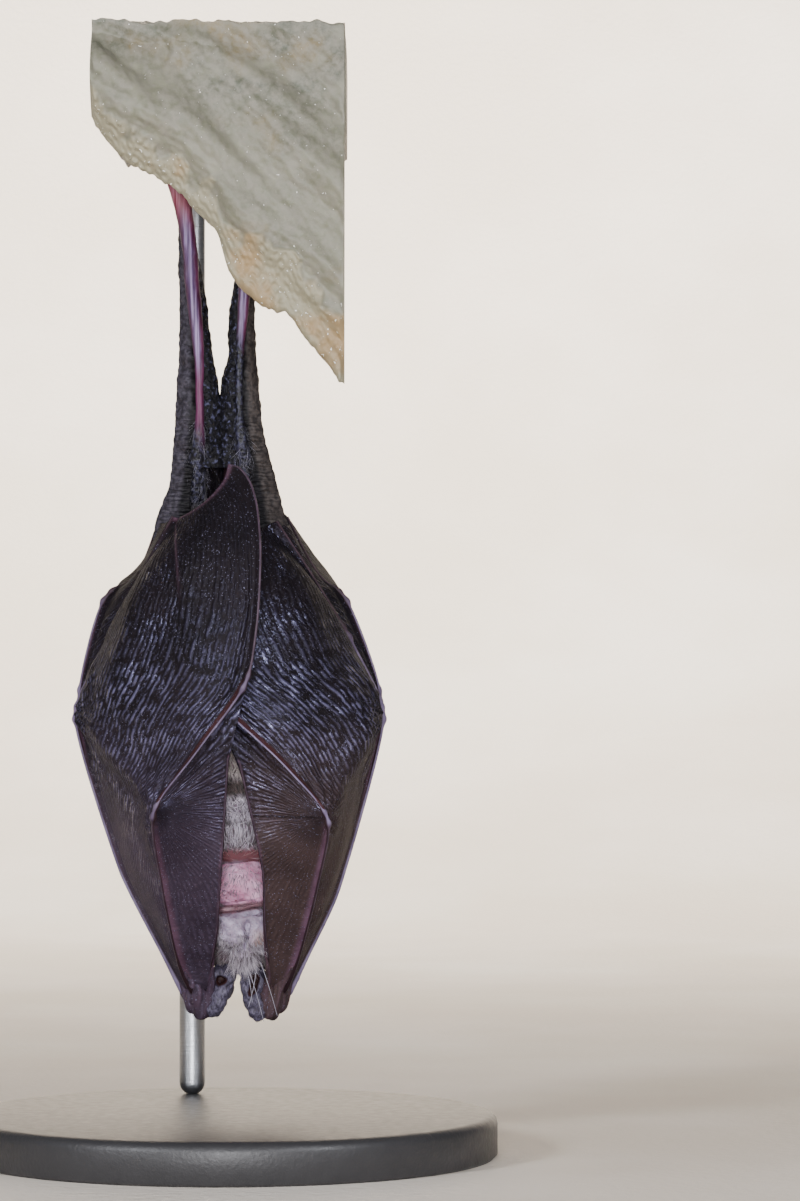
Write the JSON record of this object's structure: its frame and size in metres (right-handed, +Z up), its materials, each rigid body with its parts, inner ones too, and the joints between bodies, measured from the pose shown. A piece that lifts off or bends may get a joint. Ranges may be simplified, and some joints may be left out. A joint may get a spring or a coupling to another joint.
{
  "type": "lesser horseshoe bat",
  "caption": "Life-size resting horseshoe bat, head down and wrapped in its wings, hanging by its toes from a cut piece of rock on a round display stand.",
  "frame": {"origin": "centre of the underside of the stand's round base", "axes": "+Z up along the hanging body from head to feet, -Y out of the belly side that faces the camera, +X to the viewer's right, which is the bat's own right"},
  "size_m": [0.044, 0.044, 0.0937],
  "materials": {
    "coat": "soft grey-brown fur",
    "bare_skin": "bare pink skin with a slight sheen",
    "eye": "wet black",
    "ear_skin": "thin blue-grey skin, dark red inside",
    "finger_skin": "lilac skin stretched over bone",
    "wing_skin": "thin blackish leathery skin, finely wrinkled",
    "leg_skin": "pinkish lilac skin",
    "claw": "translucent horn",
    "limestone": "rough pale limestone",
    "painted_base": "satin dark grey paint",
    "steel_rod": "brushed"
  },
  "bodies": {
    "root": {"trunk": "coat", "neck": "coat", "head": "coat", "noseleaf": "bare_skin", "eye_l": "eye", "eye_r": "eye", "ear_l": "ear_skin", "ear_r": "ear_skin", "tail": "finger_skin", "tail_skin_l": "wing_skin", "tail_skin_r": "wing_skin", "perch_rock": "limestone", "stand_base": "painted_base", "stand_rod": "steel_rod", "wing_l_wrist": "finger_skin", "wing_l_forearm": "finger_skin", "wing_l_upper_arm": "finger_skin", "wing_l_digit2": "finger_skin", "wing_l_digit3": "finger_skin", "wing_l_digit4": "finger_skin", "wing_l_digit5": "finger_skin", "wing_l_thumb": "finger_skin", "wing_l_web23": "wing_skin", "wing_l_web34": "wing_skin", "wing_l_web45": "wing_skin", "wing_l_plagio": "wing_skin", "thigh_l": "leg_skin", "shin_l": "leg_skin", "foot_l": "leg_skin", "claw_l_1": "claw", "claw_l_2": "claw", "claw_l_3": "claw", "claw_l_4": "claw", "claw_l_5": "claw", "leg_l_outer_skin": "wing_skin", "leg_l_inner_skin": "wing_skin", "wing_r_wrist": "finger_skin", "wing_r_forearm": "finger_skin", "wing_r_upper_arm": "finger_skin", "wing_r_digit2": "finger_skin", "wing_r_digit3": "finger_skin", "wing_r_digit4": "finger_skin", "wing_r_digit5": "finger_skin", "wing_r_thumb": "finger_skin", "wing_r_web23": "wing_skin", "wing_r_web34": "wing_skin", "wing_r_web45": "wing_skin", "wing_r_plagio": "wing_skin", "thigh_r": "leg_skin", "shin_r": "leg_skin", "foot_r": "leg_skin", "claw_r_1": "claw", "claw_r_2": "claw", "claw_r_3": "claw", "claw_r_4": "claw", "claw_r_5": "claw", "leg_r_outer_skin": "wing_skin", "leg_r_inner_skin": "wing_skin"}
  },
  "joints": []
}
